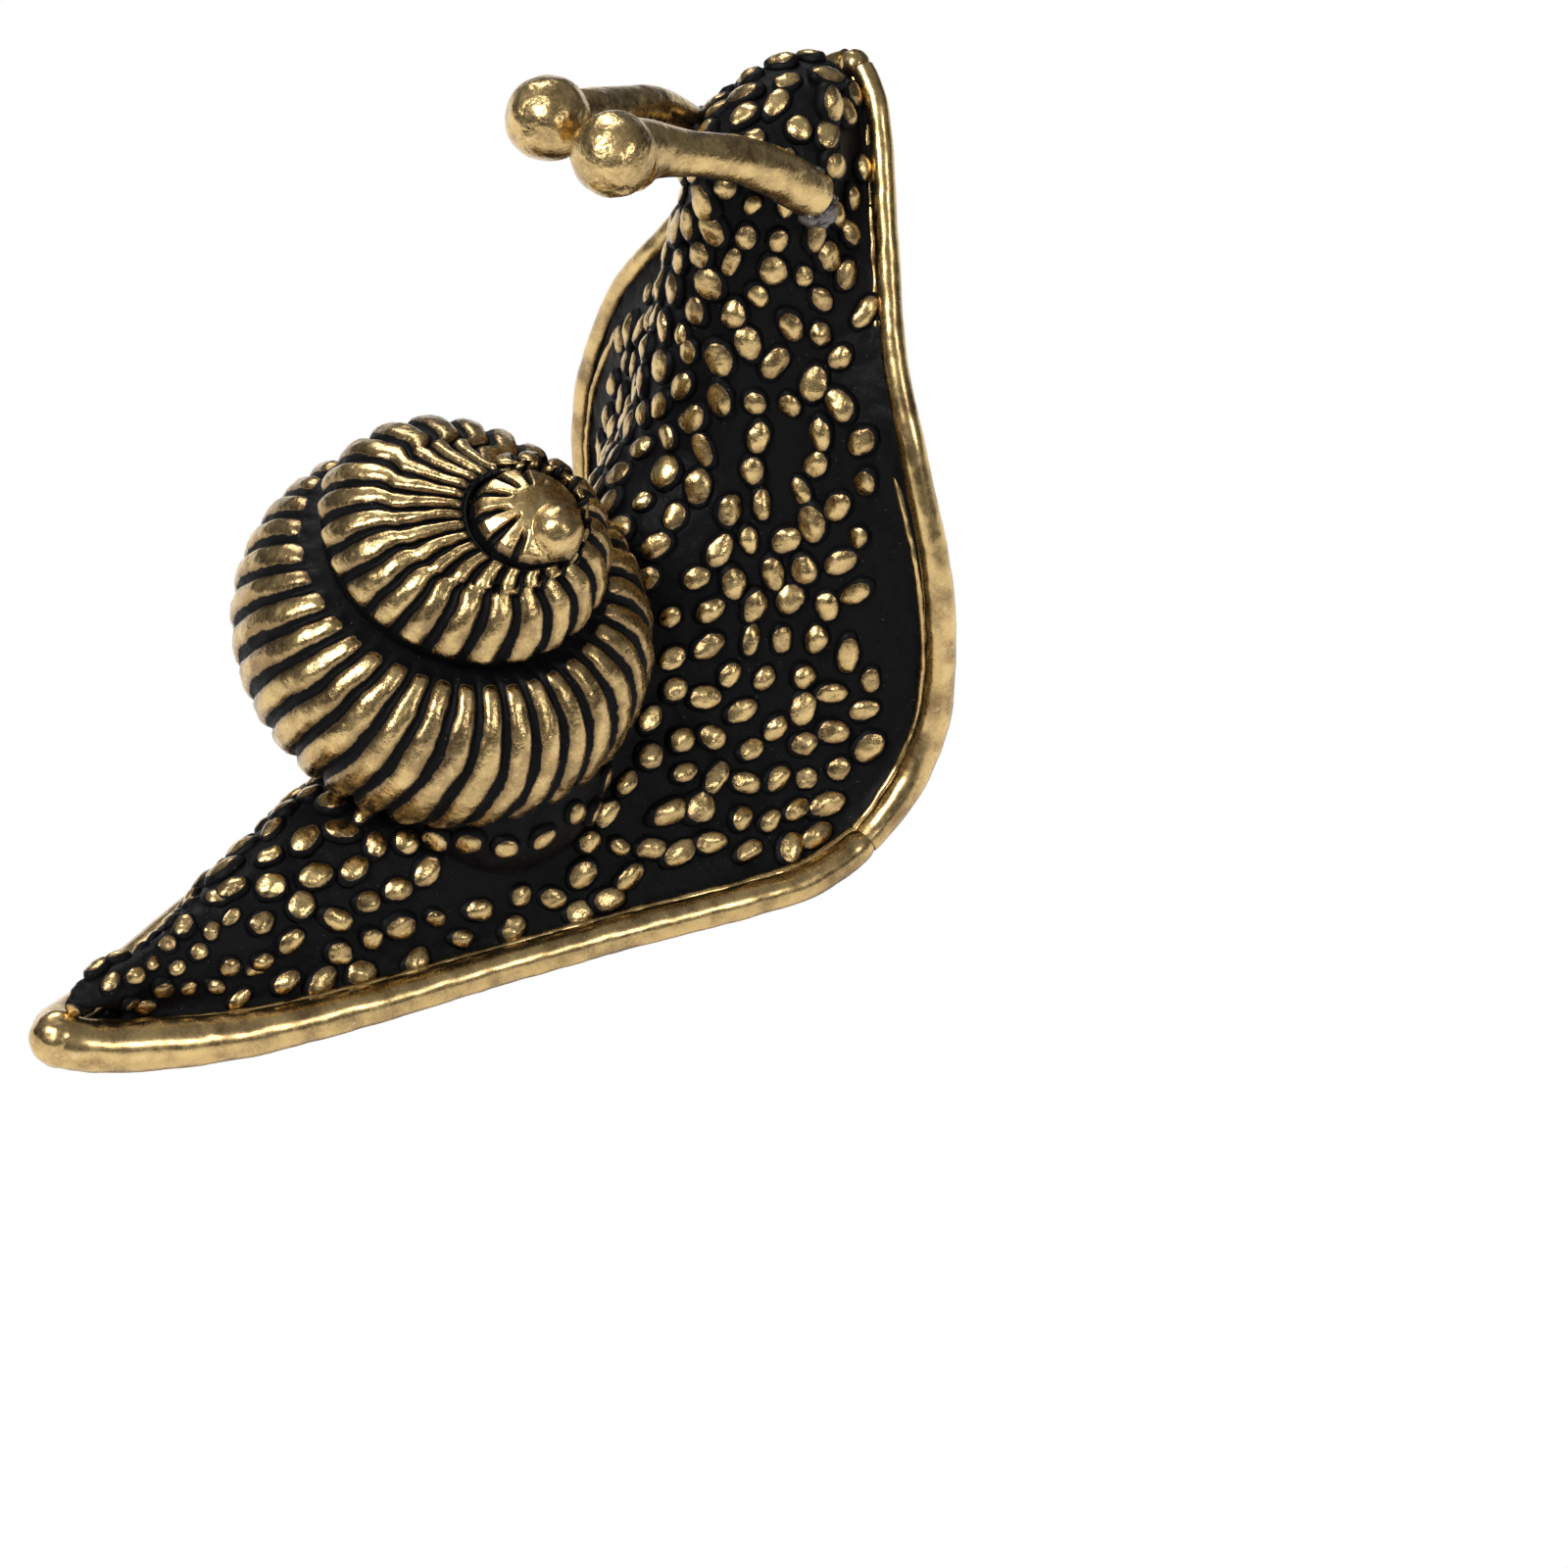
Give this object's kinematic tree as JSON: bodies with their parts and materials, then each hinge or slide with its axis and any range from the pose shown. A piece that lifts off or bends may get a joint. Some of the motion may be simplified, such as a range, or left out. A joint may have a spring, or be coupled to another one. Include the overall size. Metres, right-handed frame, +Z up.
{
  "type": "snail figurine",
  "caption": "Small cast-brass snail that lies on its tail with its neck upright, with a ribbed spiral shell, a bead rim and ball-tipped tentacles.",
  "frame": {"origin": "middle of the flat face of the sole that the snail rests on", "axes": "+X from the tail to the head end, +Y to the snail's left, +Z up"},
  "size_m": [0.0374, 0.0188, 0.0283],
  "materials": {
    "patina": "black patina with polished high spots",
    "brass": "polished, with fine casting grain"
  },
  "bodies": {
    "root": {"snail_body": "patina", "shell": "patina", "tail_rim": "brass", "neck_rim": "brass", "right_tentacle": "brass", "left_tentacle": "brass", "right_eye": "brass", "left_eye": "brass"}
  },
  "joints": []
}
